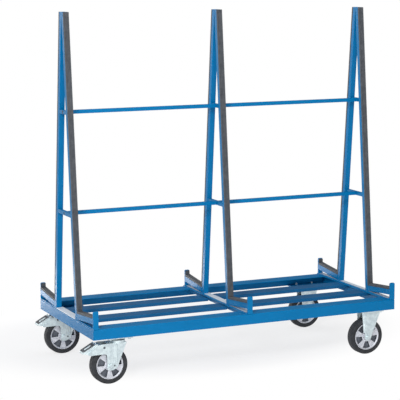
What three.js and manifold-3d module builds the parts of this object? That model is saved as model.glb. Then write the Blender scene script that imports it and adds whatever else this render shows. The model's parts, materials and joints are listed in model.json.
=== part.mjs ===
// Sheet goods cart: a wheeled deck that carries a two-sided leaning rack for boards.
// Millimetres. X runs along the deck with the swivel casters at -X, -Y is the front, +Z is up.
// The origin is on the floor, under the middle of the cart's overall length and width.

import * as THREE from 'three';
import { mergeVertices } from 'three/addons/utils/BufferGeometryUtils.js';
import Module from 'manifold-3d';

const wasm = await Module();
wasm.setup();

// Clearance kept between pieces that are welded, glued or pushed together.
const fitGap = 0.3;
// How far a cutting solid reaches past the face that it opens.
const cutReach = 5;
// Corners of a mesh that lie closer than this are one corner.
const mergeReach = 1e-4;

// Deck frame.
const deckLength = 1800;
const deckWidth = 850;
const frameUnderside = 249;
const railHeight = 56;
const railFlange = 92;
const railSheet = 4;
const railBend = 6;
const endFlange = 40;
const cornerPlateLength = 240;
const cornerPlateWidth = 125;
const cornerPlateSheet = 6;
const slatWidth = 98;
const slatHeight = 18;
const slatSheet = 3;
const slatBend = 5;
const slatOffset = 125;
const midMemberWidth = 40;

// Rack.
const frameHeight = 1925;
const footBarWidth = 40;
const midFootBarWidth = 54;
const footBarSheet = 6;
const legWidth = 30;
const legDepth = 25;
const legWall = 2;
const legCap = 3;
const legLean = THREE.MathUtils.degToRad(5.36);
const armHeight = 30;
const armWall = 2;
const stopThickness = 8;
const stopRise = 96;
const stopCorner = 8;
const padThickness = 13;
const padGrooves = 3;
const padGrooveDepth = 1.6;
const padGrooveWidth = 3;
const barSize = 20;
const barWall = 2;
const upperBarHeight = 1397;
const lowerBarHeight = 855;

// Wheels, the same on all four casters.
const wheelDiameter = 200;
const wheelFacets = 36;
const treadWidth = 30;
const tyreWidth = 52;
const shoulderDrop = 7;
const sidewallDrop = 19;
const rimRadius = 77;
const rimWidth = 48;
const rimDepth = 10;
const rimDiscWidth = 40;
const rimWeb = 8;
const hubRadius = 22;
const hubSideGap = 1.5;
const pocketCount = 5;
const pocketInner = 28;
const pocketOuter = 63;
const pocketHalfAngle = THREE.MathUtils.degToRad(20);
const pocketCorner = 4;
const axleRadius = 6;
const axleHeadRadius = 10;
const axleHeadLength = 7;

// Casters.
const casterEndInset = 155;
const casterSideInset = 59;
const topPlateLength = 140;
const topPlateWidth = 110;
const topPlateSheet = 6;
const topPlateCorner = 10;
const forkInside = 66;
const forkSheet = 4;
const swivelTrail = 52;
const swivelGap = 0.5;
const raceRadius = 38;
const raceHeight = 11;
const headRadius = 40;
const headHeight = 12.5;
const crownSheet = 6;
const crownFront = 38;
const crownBack = -66;
const kingpinRadius = 8;
const kingpinHeadRadius = 13;
const kingpinHeadLength = 4.7;
// Side plate of the fork below its crown, with the swivel axis at zero: x, z and corner radius.
const forkEdge = [
  [-4, 117, 12],
  [-13, 88, 10],
  [-38, 76, 10],
  [-71, 76, 14],
  [-71, 166, 18],
  [-166, 164, 8],
  [-180, 169, 5],
  [-130, 212, 10],
];
const wingShoulder = -102;
const wingCorner = 10;
const beadX = -22;
const beadFoot = 112;
const beadBase = 22;
const beadCrest = 12;
const beadHeight = 3.5;
// Fixed bracket, with the axle at zero.
const bracketBossRadius = 21;
const bracketLeft = -18;
const bracketRight = 64;
const bracketOffset = 22;
const foldTopWidth = 17;
const foldFootWidth = 6;
const foldDepth = 4;
const foldFoot = 125;
const turnedFacets = 24;
const smallFacets = 12;
const hexFacets = 6;

// Brake pedal, in caster coordinates with the swivel axis at zero.
const pedalPivot = new THREE.Vector2(-87, 200);
const pedalPinRadius = 4;
const pedalBossRadius = 9;
const pedalCrest = new THREE.Vector2(-128, 222);
const pedalTip = new THREE.Vector2(-205, 180);
const pedalLip = new THREE.Vector2(-201, 172);
const pedalHeel = new THREE.Vector2(-172, 171);
const pedalBelly = new THREE.Vector2(-145, 186);
const pedalSheet = 3;
const pedalSideGap = 1;
const pedalTipCorner = 24;
const shoeFront = -134;
const shoeLength = 12;
const shoeBottom = 183;

const finishes = {
  paint: { color: 0x0873b3, roughness: 0.38, metalness: 0 },
  pad: { color: 0x3e4650, roughness: 0.85, metalness: 0 },
  zinc: { color: 0xcdd5da, roughness: 0.35, metalness: 0.9 },
  steel: { color: 0xb4bac0, roughness: 0.3, metalness: 1 },
  alloy: { color: 0xc8cbd4, roughness: 0.4, metalness: 0.9 },
  tyre: { color: 0x3b3d41, roughness: 0.9, metalness: 0 },
};

const railTop = frameUnderside + railHeight;
const footTop = railTop + footBarSheet;
const legX = (deckLength - legWidth) / 2;
const leanCos = Math.cos(legLean);
const leanSin = Math.sin(legLean);
const leanTan = Math.tan(legLean);
const stopFace = deckWidth / 2 - stopThickness;
const wheelRadius = wheelDiameter / 2;
const forkOutside = forkInside + 2 * forkSheet;
const hubLength = forkInside - 2 * hubSideGap;
const casterX = deckLength / 2 - casterEndInset;
const casterY = deckWidth / 2 - casterSideInset;
const slatTop = railTop - railSheet - fitGap;
const topPlateUnder = frameUnderside - topPlateSheet;
const raceUnder = topPlateUnder - raceHeight;
const headTop = raceUnder - swivelGap;
const crownTop = headTop - headHeight;
const crownUnder = crownTop - crownSheet;
// The pedals reach past the left end, so the deck's middle lies off the middle of the whole cart.
const leftReach = casterX - pedalTip.x;
const deckShift = (leftReach - deckLength / 2) / 2;

const axisX = new THREE.Vector3(1, 0, 0);
const axisY = new THREE.Vector3(0, 1, 0);
const axisZ = new THREE.Vector3(0, 0, 1);
const curveSteps = 4;
const cornerSteps = 2;

// A closed triangle mesh with merged corners and outward faces.
function closed(geometry) {
  const loose = geometry.index ? geometry.toNonIndexed() : geometry.clone();
  loose.deleteAttribute('normal');
  loose.deleteAttribute('uv');
  const merged = mergeVertices(loose, mergeReach);
  const corners = merged.index.array;
  const kept = [];
  for (let i = 0; i < corners.length; i += 3) {
    const [a, b, c] = corners.slice(i, i + 3);
    if (a !== b && b !== c && c !== a) kept.push(a, b, c);
  }
  merged.setIndex(kept);
  const p = [0, 1, 2].map(() => new THREE.Vector3());
  let volume = 0;
  for (let i = 0; i < kept.length; i += 3) {
    p.forEach((v, k) => v.fromBufferAttribute(merged.attributes.position, kept[i + k]));
    volume += p[0].dot(p[1].cross(p[2]));
  }
  if (volume < 0) merged.setIndex(kept.reverse());
  return merged;
}

function solid(geometry) {
  const mesh = closed(geometry);
  return new wasm.Manifold(
    new wasm.Mesh({
      numProp: 3,
      vertProperties: new Float32Array(mesh.attributes.position.array),
      triVerts: new Uint32Array(mesh.index.array),
    }),
  );
}

function toGeometry(manifold) {
  const mesh = manifold.getMesh();
  const geometry = new THREE.BufferGeometry();
  geometry.setAttribute('position', new THREE.BufferAttribute(mesh.vertProperties, mesh.numProp));
  geometry.setIndex(new THREE.BufferAttribute(mesh.triVerts, 1));
  return geometry;
}

function join(...solids) {
  return solids.reduce((whole, next) => whole.add(next));
}

function cut(body, ...tools) {
  return tools.reduce((left, tool) => left.subtract(tool), body);
}

function add(parent, name, geometry, finish) {
  const mesh = new THREE.Mesh(geometry, new THREE.MeshStandardMaterial(finish));
  mesh.name = name;
  parent.add(mesh);
  return mesh;
}

// Axis-aligned box between two corners.
function box(x, y, z) {
  const size = [x, y, z].map(([low, high]) => high - low);
  const middle = [x, y, z].map(([low, high]) => (low + high) / 2);
  return new THREE.BoxGeometry(...size).translate(...middle);
}

// A shape pushed along one direction, centred on its plane.
function prism(shape, length, basis, steps = curveSteps) {
  const geometry = new THREE.ExtrudeGeometry(shape, {
    depth: length,
    bevelEnabled: false,
    curveSegments: steps,
  });
  return geometry.translate(0, 0, -length / 2).applyMatrix4(basis);
}

const alongX = new THREE.Matrix4().makeBasis(axisY, axisZ, axisX);
const alongY = new THREE.Matrix4().makeBasis(axisX, axisZ, axisY.clone().negate());
const alongZ = new THREE.Matrix4();

// Six-sided body between a lower and an upper four-sided face.
function wedge(lower, upper) {
  const geometry = new THREE.BufferGeometry().setFromPoints([...lower, ...upper]);
  const around = [0, 1, 2, 3].flatMap((i) => {
    const next = (i + 1) % 4;
    return [i, next, next + 4, i, next + 4, i + 4];
  });
  return geometry.setIndex([0, 2, 1, 0, 3, 2, 4, 5, 6, 4, 6, 7, ...around]);
}

// Turned pieces: a profile of [radius, height] pairs, round the Y axis, with a flat facet underneath.
function turned(profile, facets) {
  const stretch = 1 / Math.cos(Math.PI / facets);
  const points = profile.map(([radius, height]) => new THREE.Vector2(radius * stretch, height));
  return new THREE.LatheGeometry(points, facets, Math.PI / facets);
}

function upright(geometry) {
  return geometry.rotateX(Math.PI / 2);
}

function disc(radius, from, to, facets) {
  return turned([[0, from], [radius, from], [radius, to], [0, to]], facets);
}

function outline(points) {
  return new THREE.Shape(points);
}

function rectangle(x, y) {
  return outline([
    new THREE.Vector2(x[0], y[0]),
    new THREE.Vector2(x[1], y[0]),
    new THREE.Vector2(x[1], y[1]),
    new THREE.Vector2(x[0], y[1]),
  ]);
}

// A closed outline whose corners are rounded off: each point is [x, y, radius].
function roundedOutline(points) {
  const shape = new THREE.Shape();
  points.forEach(([x, y, radius], i) => {
    const here = new THREE.Vector2(x, y);
    const before = points.at(i - 1);
    const after = points[(i + 1) % points.length];
    const back = new THREE.Vector2(before[0], before[1]).sub(here).normalize();
    const ahead = new THREE.Vector2(after[0], after[1]).sub(here).normalize();
    const half = Math.acos(THREE.MathUtils.clamp(back.dot(ahead), -1, 1)) / 2;
    const reach = radius / Math.tan(half);
    const start = here.clone().addScaledVector(back, reach);
    const end = here.clone().addScaledVector(ahead, reach);
    if (i === 0) shape.moveTo(start.x, start.y);
    else shape.lineTo(start.x, start.y);
    if (radius > 0) shape.quadraticCurveTo(here.x, here.y, end.x, end.y);
  });
  shape.closePath();
  return shape;
}

// Bent angle section: web on x = 0 rising from y = 0, flange on top running to +x.
function bentAngle(height, flange, sheet, bend) {
  const shape = new THREE.Shape();
  shape.moveTo(0, 0);
  shape.lineTo(sheet, 0);
  shape.lineTo(sheet, height - bend);
  shape.absarc(bend, height - bend, bend - sheet, Math.PI, Math.PI / 2, true);
  shape.lineTo(flange, height - sheet);
  shape.lineTo(flange, height);
  shape.lineTo(bend, height);
  shape.absarc(bend, height - bend, bend, Math.PI / 2, Math.PI, false);
  shape.closePath();
  return shape;
}

// Folded channel section, open below, with its top face on y = 0.
function channel(width, height, sheet, bend) {
  const half = width / 2;
  const shape = new THREE.Shape();
  shape.moveTo(-half, -height);
  shape.lineTo(-half + sheet, -height);
  shape.lineTo(-half + sheet, -bend);
  shape.absarc(-half + bend, -bend, bend - sheet, Math.PI, Math.PI / 2, true);
  shape.lineTo(half - bend, -sheet);
  shape.absarc(half - bend, -bend, bend - sheet, Math.PI / 2, 0, true);
  shape.lineTo(half - sheet, -height);
  shape.lineTo(half, -height);
  shape.lineTo(half, -bend);
  shape.absarc(half - bend, -bend, bend, 0, Math.PI / 2, false);
  shape.lineTo(-half + bend, 0);
  shape.absarc(-half + bend, -bend, bend, Math.PI / 2, Math.PI, false);
  shape.closePath();
  return shape;
}

// Long rail of the deck, web outside, running between the end beams' webs.
function rail() {
  const length = deckLength - 2 * (railSheet + fitGap);
  return prism(bentAngle(railHeight, railFlange, railSheet, railBend), length, alongX);
}

// End beam with its flange cut back at the long rails and a plate in each corner for a caster.
function endBeam() {
  const beam = solid(prism(bentAngle(railHeight, endFlange, railSheet, railBend), deckWidth, alongX));
  const flangeEnd = deckWidth / 2 - railFlange - fitGap;
  const plateOuter = deckWidth / 2 - railSheet - fitGap;
  const plateInner = plateOuter - cornerPlateWidth;
  const notches = [];
  const plates = [];
  for (const side of [-1, 1]) {
    const notchX = [side * flangeEnd, side * (deckWidth / 2 + cutReach)].sort((a, b) => a - b);
    const plateX = [side * plateInner, side * plateOuter].sort((a, b) => a - b);
    notches.push(solid(box(notchX, [railSheet, endFlange + cutReach], [0, railHeight + cutReach])));
    plates.push(solid(box(plateX, [0, cornerPlateLength], [0, cornerPlateSheet])));
  }
  return toGeometry(join(cut(beam, ...notches), ...plates));
}

function midMember() {
  const length = deckWidth - 2 * (railFlange + fitGap);
  return prism(channel(midMemberWidth, slatHeight, slatSheet, slatBend), length, alongY);
}

// The slats run from the middle member to the bends of the end beams, under the beams' flanges.
const slatLength = deckLength / 2 - railBend - midMemberWidth / 2 - 2 * fitGap;
const slatMiddle = (deckLength / 2 - railBend + midMemberWidth / 2) / 2;

function slat() {
  return prism(channel(slatWidth, slatHeight, slatSheet, slatBend), slatLength, alongX);
}

function footBar(width) {
  const half = deckWidth / 2 - stopThickness - fitGap;
  return box([-width / 2, width / 2], [-half, half], [railTop, footTop]);
}

// Distance of a rear leg's inner and outer faces from the middle plane at a height.
function legInner(z) {
  return fitGap / 2 + (frameHeight - z) * leanTan;
}

function legOuter(z) {
  return legInner(z) + legDepth / leanCos;
}

// A plan shape raised along the lean of the rear legs. Its y is measured at the top of the rack.
function leaning(shape, from, to) {
  const geometry = prism(shape, to - from, alongZ).translate(0, 0, (from + to) / 2 - frameHeight);
  const shear = new THREE.Matrix4().makeShear(0, 0, 0, 0, 0, -leanTan);
  return geometry.applyMatrix4(shear).translate(0, 0, frameHeight);
}

// Rectangular tube, capped at the top and open where it stands on the foot bar.
function leg() {
  const from = footTop + fitGap;
  const inner = fitGap / 2;
  const outer = inner + legDepth / leanCos;
  const wall = legWall / leanCos;
  const half = legWidth / 2;
  const body = leaning(rectangle([-half, half], [inner, outer]), from, frameHeight);
  const inside = rectangle([-half + legWall, half - legWall], [inner + wall, outer - wall]);
  const hollow = leaning(inside, from - cutReach, frameHeight - legCap);
  return toGeometry(cut(solid(body), solid(hollow)));
}

// Rubber strip section: flat back on y = from, grooved face at y = to.
function padSection(from, to) {
  const half = legWidth / 2;
  const pitch = legWidth / (padGrooves + 1);
  const points = [new THREE.Vector2(-half, from), new THREE.Vector2(half, from), new THREE.Vector2(half, to)];
  for (let i = padGrooves; i > 0; i -= 1) {
    const x = -half + i * pitch;
    points.push(new THREE.Vector2(x + padGrooveWidth / 2, to));
    points.push(new THREE.Vector2(x, to - padGrooveDepth));
    points.push(new THREE.Vector2(x - padGrooveWidth / 2, to));
  }
  points.push(new THREE.Vector2(-half, to));
  return outline(points);
}

// Arm coordinates in the Y-Z plane: a runs out from the leg, square to it, and b is height over the arm.
const armStart = new THREE.Vector2(legOuter(footTop + fitGap) + fitGap / leanCos, footTop + fitGap);

function armPoint(a, b) {
  return new THREE.Vector2(
    armStart.x + a * leanCos - b * leanSin,
    armStart.y + a * leanSin + b * leanCos,
  );
}

// Run along the arm at which a line b above it meets the upright plane at distance y.
function armRun(y, b) {
  return (y - armStart.x + b * leanSin) / leanCos;
}

function armOutline(start, low, high, end) {
  return outline([
    armPoint(start, low),
    armPoint(armRun(end, low), low),
    armPoint(armRun(end, high), high),
    armPoint(start, high),
  ]);
}

function stopPlate() {
  const half = legWidth / 2;
  const top = railTop + stopRise;
  const face = roundedOutline([
    [-half, railTop, 0],
    [half, railTop, 0],
    [half, top, stopCorner],
    [-half, top, stopCorner],
  ]);
  return prism(face, stopThickness, alongY).translate(0, stopFace + stopThickness / 2, 0);
}

// Square tube square to the leg, open towards it and closed by the stop plate welded to its end.
function arm() {
  const tube = prism(armOutline(0, 0, armHeight, stopFace + stopThickness / 2), legWidth, alongX);
  const inside = armOutline(-cutReach, armWall, armHeight - armWall, stopFace);
  const hollow = prism(inside, legWidth - 2 * armWall, alongX);
  return toGeometry(cut(join(solid(tube), solid(stopPlate())), solid(hollow)));
}

const armPadStart = padThickness + 2 * fitGap;
const armPadFoot = armHeight + fitGap;

function armPad() {
  const end = armRun(stopFace - fitGap, armPadFoot);
  const middle = armPoint((armPadStart + end) / 2, armPadFoot);
  const up = new THREE.Vector3(0, -leanSin, leanCos);
  const inwards = new THREE.Vector3(0, -leanCos, -leanSin);
  const basis = new THREE.Matrix4().makeBasis(axisX, up, inwards);
  return prism(padSection(0, padThickness), end - armPadStart, basis).translate(0, middle.x, middle.y);
}

// Rubber strip on the leg's outer face, from the arm up to the top of the rack.
function legPad() {
  const back = fitGap / 2 + (legDepth + fitGap) / leanCos;
  const section = padSection(back, back + padThickness / leanCos);
  return leaning(section, armPoint(armPadStart, armHeight).y + fitGap, frameHeight);
}

// Square tube along the rack, open at both ends, with a tie across to each pair of legs.
function crossBar(height) {
  const half = barSize / 2;
  const inside = half - barWall;
  const end = deckLength / 2;
  const bodies = [solid(box([-end, end], [-half, half], [height - half, height + half]))];
  const open = end + cutReach;
  const hollow = box([-open, open], [-inside, inside], [height - inside, height + inside]);
  for (const x of [-1, 0, 1]) {
    const middle = x * (deckLength - barSize) / 2;
    const low = legInner(height - half) - fitGap / leanCos;
    const high = legInner(height + half) - fitGap / leanCos;
    const tie = outline([
      new THREE.Vector2(-low, height - half),
      new THREE.Vector2(low, height - half),
      new THREE.Vector2(high, height + half),
      new THREE.Vector2(-high, height + half),
    ]);
    bodies.push(solid(prism(tie, barSize, alongX).translate(middle, 0, 0)));
  }
  return toGeometry(cut(join(...bodies), solid(hollow)));
}

// Wedge pocket between two spokes, drawn with its middle straight up.
function pocketOutline() {
  const corner = (radius, angle) => [radius * Math.sin(angle), radius * Math.cos(angle), pocketCorner];
  return roundedOutline([
    corner(pocketInner, -pocketHalfAngle),
    corner(pocketInner, pocketHalfAngle),
    corner(pocketOuter, pocketHalfAngle),
    corner(pocketOuter, -pocketHalfAngle),
  ]);
}

// Cast rim: hub with a bore, disc with pockets on both sides, and the bed that the tyre sits on.
function rim() {
  const bore = axleRadius + fitGap;
  const bed = rimRadius - rimDepth;
  const profile = [
    [bore, -hubLength / 2],
    [hubRadius, -hubLength / 2],
    [hubRadius, -rimDiscWidth / 2],
    [bed, -rimDiscWidth / 2],
    [bed, -rimWidth / 2],
    [rimRadius, -rimWidth / 2],
    [rimRadius, rimWidth / 2],
    [bed, rimWidth / 2],
    [bed, rimDiscWidth / 2],
    [hubRadius, rimDiscWidth / 2],
    [hubRadius, hubLength / 2],
    [bore, hubLength / 2],
    [bore, -hubLength / 2],
  ];
  const pocketDepth = (rimDiscWidth - rimWeb) / 2 + cutReach;
  const pockets = [];
  for (let i = 0; i < pocketCount; i += 1) {
    for (const side of [-1, 1]) {
      const pocket = prism(pocketOutline(), pocketDepth, alongY, cornerSteps);
      pocket.translate(0, side * (rimWeb + pocketDepth) / 2, 0);
      pocket.rotateY(2 * Math.PI * i / pocketCount);
      pockets.push(solid(pocket));
    }
  }
  return toGeometry(cut(solid(turned(profile, wheelFacets)), ...pockets));
}

function tyre() {
  const bed = rimRadius + fitGap;
  const side = tyreWidth / 2;
  const tread = treadWidth / 2;
  const shoulder = wheelRadius - shoulderDrop;
  const wall = wheelRadius - sidewallDrop;
  return closed(turned([
    [bed, -rimWidth / 2],
    [wall, -side],
    [shoulder, -side],
    [wheelRadius, -tread],
    [wheelRadius, tread],
    [shoulder, side],
    [wall, side],
    [bed, rimWidth / 2],
    [bed, -rimWidth / 2],
  ], wheelFacets));
}

// Axle bolt with its head and nut outside the fork's plates.
function axle() {
  const seat = forkOutside / 2 + fitGap;
  const shank = disc(axleRadius, -seat - axleHeadLength, seat + axleHeadLength, smallFacets);
  const head = () => disc(axleHeadRadius, -axleHeadLength / 2, axleHeadLength / 2, hexFacets);
  const offset = seat + axleHeadLength / 2;
  return toGeometry(join(
    solid(shank),
    solid(head().translate(0, offset, 0)),
    solid(head().translate(0, -offset, 0)),
  ));
}

function boltDown(radius, from, to) {
  return solid(upright(disc(radius, from, to, smallFacets)));
}

function acrossHole(radius, x, z) {
  const reach = forkOutside / 2 + cutReach;
  return solid(disc(radius, -reach, reach, smallFacets).translate(x, 0, z));
}

function plateOutline() {
  const x = topPlateLength / 2;
  const y = topPlateWidth / 2;
  return roundedOutline([
    [-x, -y, topPlateCorner],
    [x, -y, topPlateCorner],
    [x, y, topPlateCorner],
    [-x, y, topPlateCorner],
  ]);
}

function topPlate(x) {
  const plate = prism(plateOutline(), topPlateSheet, alongZ);
  return solid(plate.translate(x, 0, frameUnderside - topPlateSheet / 2));
}

// Top plate of a swivel caster with its bearing race and the kingpin's hole.
function casterPlate() {
  const race = solid(upright(disc(raceRadius, raceUnder, frameUnderside, turnedFacets)));
  const hole = boltDown(kingpinRadius + fitGap, raceUnder - cutReach, frameUnderside + cutReach);
  return toGeometry(cut(join(topPlate(0), race), hole));
}

function kingpin() {
  const headFrom = crownUnder - fitGap - kingpinHeadLength;
  const head = upright(disc(kingpinHeadRadius, headFrom, crownUnder - fitGap, hexFacets));
  return toGeometry(join(boltDown(kingpinRadius, headFrom, frameUnderside - fitGap), solid(head)));
}

// Side plate of the swivel fork: crown, leg down to the axle, and a wing that carries the brake pedal.
function forkOutline() {
  return roundedOutline([[crownFront, crownTop, 0], ...forkEdge, [wingShoulder, crownTop, wingCorner]]);
}

function sidePlates(shape) {
  const offset = (forkInside + forkSheet) / 2;
  return [-1, 1].map((side) => solid(prism(shape, forkSheet, alongY).translate(0, side * offset, 0)));
}

// Stiffening bead pressed out of each side plate of the fork.
function forkBeads() {
  return [-1, 1].map((side) => {
    const root = side * (forkOutside / 2 - forkSheet / 2);
    const crest = side * (forkOutside / 2 + beadHeight);
    const section = (z) => [
      new THREE.Vector3(beadX - beadBase / 2, root, z),
      new THREE.Vector3(beadX + beadBase / 2, root, z),
      new THREE.Vector3(beadX + beadCrest / 2, crest, z),
      new THREE.Vector3(beadX - beadCrest / 2, crest, z),
    ];
    return solid(wedge(section(beadFoot), section(crownUnder)));
  });
}

function swivelFork() {
  const half = forkOutside / 2;
  const crown = solid(box([crownBack, crownFront], [-half, half], [crownUnder, crownTop]));
  const head = solid(upright(disc(headRadius, crownUnder, headTop, turnedFacets)));
  return toGeometry(cut(
    join(crown, head, ...sidePlates(forkOutline()), ...forkBeads()),
    boltDown(kingpinRadius + fitGap, crownUnder - cutReach, headTop + cutReach),
    acrossHole(axleRadius + fitGap, -swivelTrail, wheelRadius),
    acrossHole(pedalPinRadius + fitGap, pedalPivot.x, pedalPivot.y),
  ));
}

// Height of the tread's underside at a distance along the caster.
function treadHeight(x) {
  const along = (x - pedalCrest.x) / (pedalTip.x - pedalCrest.x);
  return THREE.MathUtils.lerp(pedalCrest.y, pedalTip.y, along) - pedalSheet / 2;
}

// Side view of the pedal: a boss round the pin, then the tread and the cheeks under it.
function cheekOutline() {
  const shape = new THREE.Shape();
  shape.moveTo(pedalPivot.x, pedalPivot.y - pedalBossRadius);
  shape.absarc(pedalPivot.x, pedalPivot.y, pedalBossRadius, -Math.PI / 2, Math.PI / 2, false);
  for (const corner of [pedalCrest, pedalTip, pedalLip, pedalHeel, pedalBelly]) {
    shape.lineTo(corner.x, corner.y);
  }
  shape.closePath();
  return shape;
}

// What is left open under the tread and between the cheeks.
function underTread() {
  const back = pedalPivot.x + pedalBossRadius + cutReach;
  const under = new THREE.Vector2(0, -pedalSheet);
  const top = pedalPivot.y + pedalBossRadius - pedalSheet;
  const lip = pedalLip.x + pedalSheet;
  const bottom = pedalHeel.y - cutReach;
  return outline([
    new THREE.Vector2(back, top),
    new THREE.Vector2(pedalPivot.x, top),
    pedalCrest.clone().add(under),
    pedalTip.clone().add(under).setX(lip),
    new THREE.Vector2(lip, bottom),
    new THREE.Vector2(back, bottom),
  ]);
}

// Pressed pedal on a cross pin: a folded tread with side cheeks, and a shoe that bears on the tyre.
function brakePedal() {
  const half = forkInside / 2 - pedalSideGap;
  const inside = half - pedalSheet;
  const back = pedalPivot.x + pedalBossRadius + cutReach;
  const plan = roundedOutline([
    [back, -half, 0],
    [back, half, 0],
    [pedalTip.x, half, pedalTipCorner],
    [pedalTip.x, -half, pedalTipCorner],
  ]);
  const tongue = solid(prism(plan, 2 * pedalCrest.y, alongZ));
  const folded = cut(
    solid(prism(cheekOutline(), 2 * half, alongY)),
    solid(prism(underTread(), 2 * inside, alongY)),
  );
  const pinHalf = forkOutside / 2;
  const pin = disc(pedalPinRadius, -pinHalf, pinHalf, smallFacets).translate(pedalPivot.x, 0, pedalPivot.y);
  const shoeBack = shoeFront - shoeLength;
  const shoeHalf = inside + fitGap;
  const shoe = box([shoeBack, shoeFront], [-shoeHalf, shoeHalf], [shoeBottom, treadHeight(shoeBack)]);
  return toGeometry(join(folded.intersect(tongue), solid(pin), solid(shoe)));
}

// Side plate of a fixed caster: wide at the top plate, tapering to a boss round the axle.
function bracketOutline() {
  const shape = new THREE.Shape();
  shape.moveTo(bracketRight, topPlateUnder);
  shape.lineTo(bracketBossRadius, wheelRadius);
  shape.absarc(0, wheelRadius, bracketBossRadius, 0, Math.PI, true);
  shape.lineTo(bracketLeft, topPlateUnder);
  shape.lineTo(bracketLeft, topPlateUnder + topPlateSheet / 2);
  shape.lineTo(bracketRight, topPlateUnder + topPlateSheet / 2);
  shape.closePath();
  return shape;
}

// Edge of a bracket's side plate, folded back towards the wheel and wider at the top.
function bracketFold(side, edge, way) {
  const outer = forkOutside / 2;
  const section = (z, width) => {
    const rise = (z - wheelRadius) / (topPlateUnder - wheelRadius);
    const root = THREE.MathUtils.lerp(way * bracketBossRadius, edge, rise);
    return [
      new THREE.Vector3(root - way * forkSheet, side * outer, z),
      new THREE.Vector3(root + way * width, side * (outer - foldDepth), z),
      new THREE.Vector3(root + way * width, side * (outer - foldDepth - forkSheet), z),
      new THREE.Vector3(root - way * forkSheet, side * (outer - forkSheet), z),
    ];
  };
  return solid(wedge(section(foldFoot, foldFootWidth), section(topPlateUnder, foldTopWidth)));
}

function fixedBracket() {
  const folds = [-1, 1].flatMap((side) => [
    bracketFold(side, bracketLeft, -1),
    bracketFold(side, bracketRight, 1),
  ]);
  return toGeometry(cut(
    join(topPlate(bracketOffset), ...sidePlates(bracketOutline()), ...folds),
    acrossHole(axleRadius + fitGap, 0, wheelRadius),
  ));
}

const cart = new THREE.Group();
const deck = new THREE.Group();
deck.position.x = deckShift;
cart.add(deck);

// Deck frame: two long rails between two end beams, slats in both bays and three foot bars on top.
const frontRail = add(deck, 'front_rail', rail(), finishes.paint);
frontRail.position.set(0, -deckWidth / 2, frameUnderside);
const rearRail = add(deck, 'rear_rail', rail(), finishes.paint);
rearRail.position.set(0, deckWidth / 2, frameUnderside);
rearRail.rotation.z = Math.PI;

const leftEnd = add(deck, 'left_end_beam', endBeam(), finishes.paint);
leftEnd.position.set(-deckLength / 2, 0, frameUnderside);
leftEnd.rotation.z = -Math.PI / 2;
const rightEnd = add(deck, 'right_end_beam', endBeam(), finishes.paint);
rightEnd.position.set(deckLength / 2, 0, frameUnderside);
rightEnd.rotation.z = Math.PI / 2;

add(deck, 'mid_cross_member', midMember(), finishes.paint).position.z = railTop;

const bays = { left: -1, right: 1 };
const sides = { front: -1, rear: 1 };
const stations = { left: -1, mid: 0, right: 1 };

for (const [side, y] of Object.entries(sides)) {
  for (const [bay, x] of Object.entries(bays)) {
    const strip = add(deck, `slat_${side}_${bay}`, slat(), finishes.paint);
    strip.position.set(x * slatMiddle, y * slatOffset, slatTop);
  }
}

for (const [station, x] of Object.entries(stations)) {
  const width = x === 0 ? midFootBarWidth : footBarWidth;
  const bar = add(deck, `foot_bar_${station}`, footBar(width), finishes.paint);
  bar.position.x = x * (deckLength - width) / 2;
}

// Rack: pieces are drawn for the rear, and the front ones stand in a group turned half round.
for (const [side, y] of Object.entries(sides)) {
  const face = new THREE.Group();
  face.rotation.z = y < 0 ? Math.PI : 0;
  deck.add(face);
  for (const [station, x] of Object.entries(stations)) {
    const place = y * x * legX;
    add(face, `leg_${station}_${side}`, leg(), finishes.paint).position.x = place;
    add(face, `leg_pad_${station}_${side}`, legPad(), finishes.pad).position.x = place;
    add(face, `arm_${station}_${side}`, arm(), finishes.paint).position.x = place;
    add(face, `arm_pad_${station}_${side}`, armPad(), finishes.pad).position.x = place;
  }
}

add(deck, 'upper_bar', crossBar(upperBarHeight), finishes.paint);
add(deck, 'lower_bar', crossBar(lowerBarHeight), finishes.paint);

// One wheel on its axle. The turn sets where the spokes stand.
function addWheel(parent, name, x, turn) {
  add(parent, `axle_${name}`, axle(), finishes.steel).position.set(x, 0, wheelRadius);
  const cast = add(parent, `rim_${name}`, rim(), finishes.alloy);
  cast.position.set(x, 0, wheelRadius);
  cast.rotation.y = turn;
  add(parent, `tyre_${name}`, tyre(), finishes.tyre).position.set(x, 0, wheelRadius);
}

// Casters: swivelling with a foot brake at the left end, fixed at the right end.
const spokeDown = 0;
const pocketDown = Math.PI / pocketCount;
for (const [side, y] of Object.entries(sides)) {
  const swivel = new THREE.Group();
  swivel.position.set(-casterX, y * casterY, 0);
  deck.add(swivel);
  add(swivel, `caster_plate_${side}`, casterPlate(), finishes.zinc);
  add(swivel, `kingpin_${side}`, kingpin(), finishes.steel);
  add(swivel, `swivel_fork_${side}`, swivelFork(), finishes.zinc);
  add(swivel, `brake_pedal_${side}`, brakePedal(), finishes.zinc);
  addWheel(swivel, `left_${side}`, -swivelTrail, spokeDown);

  const fixed = new THREE.Group();
  fixed.position.set(casterX, y * casterY, 0);
  deck.add(fixed);
  add(fixed, `fixed_bracket_${side}`, fixedBracket(), finishes.zinc);
  addWheel(fixed, `right_${side}`, 0, pocketDown);
}

export default cart;
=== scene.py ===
import bpy
import json
import math
from mathutils import Matrix, Vector


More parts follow.
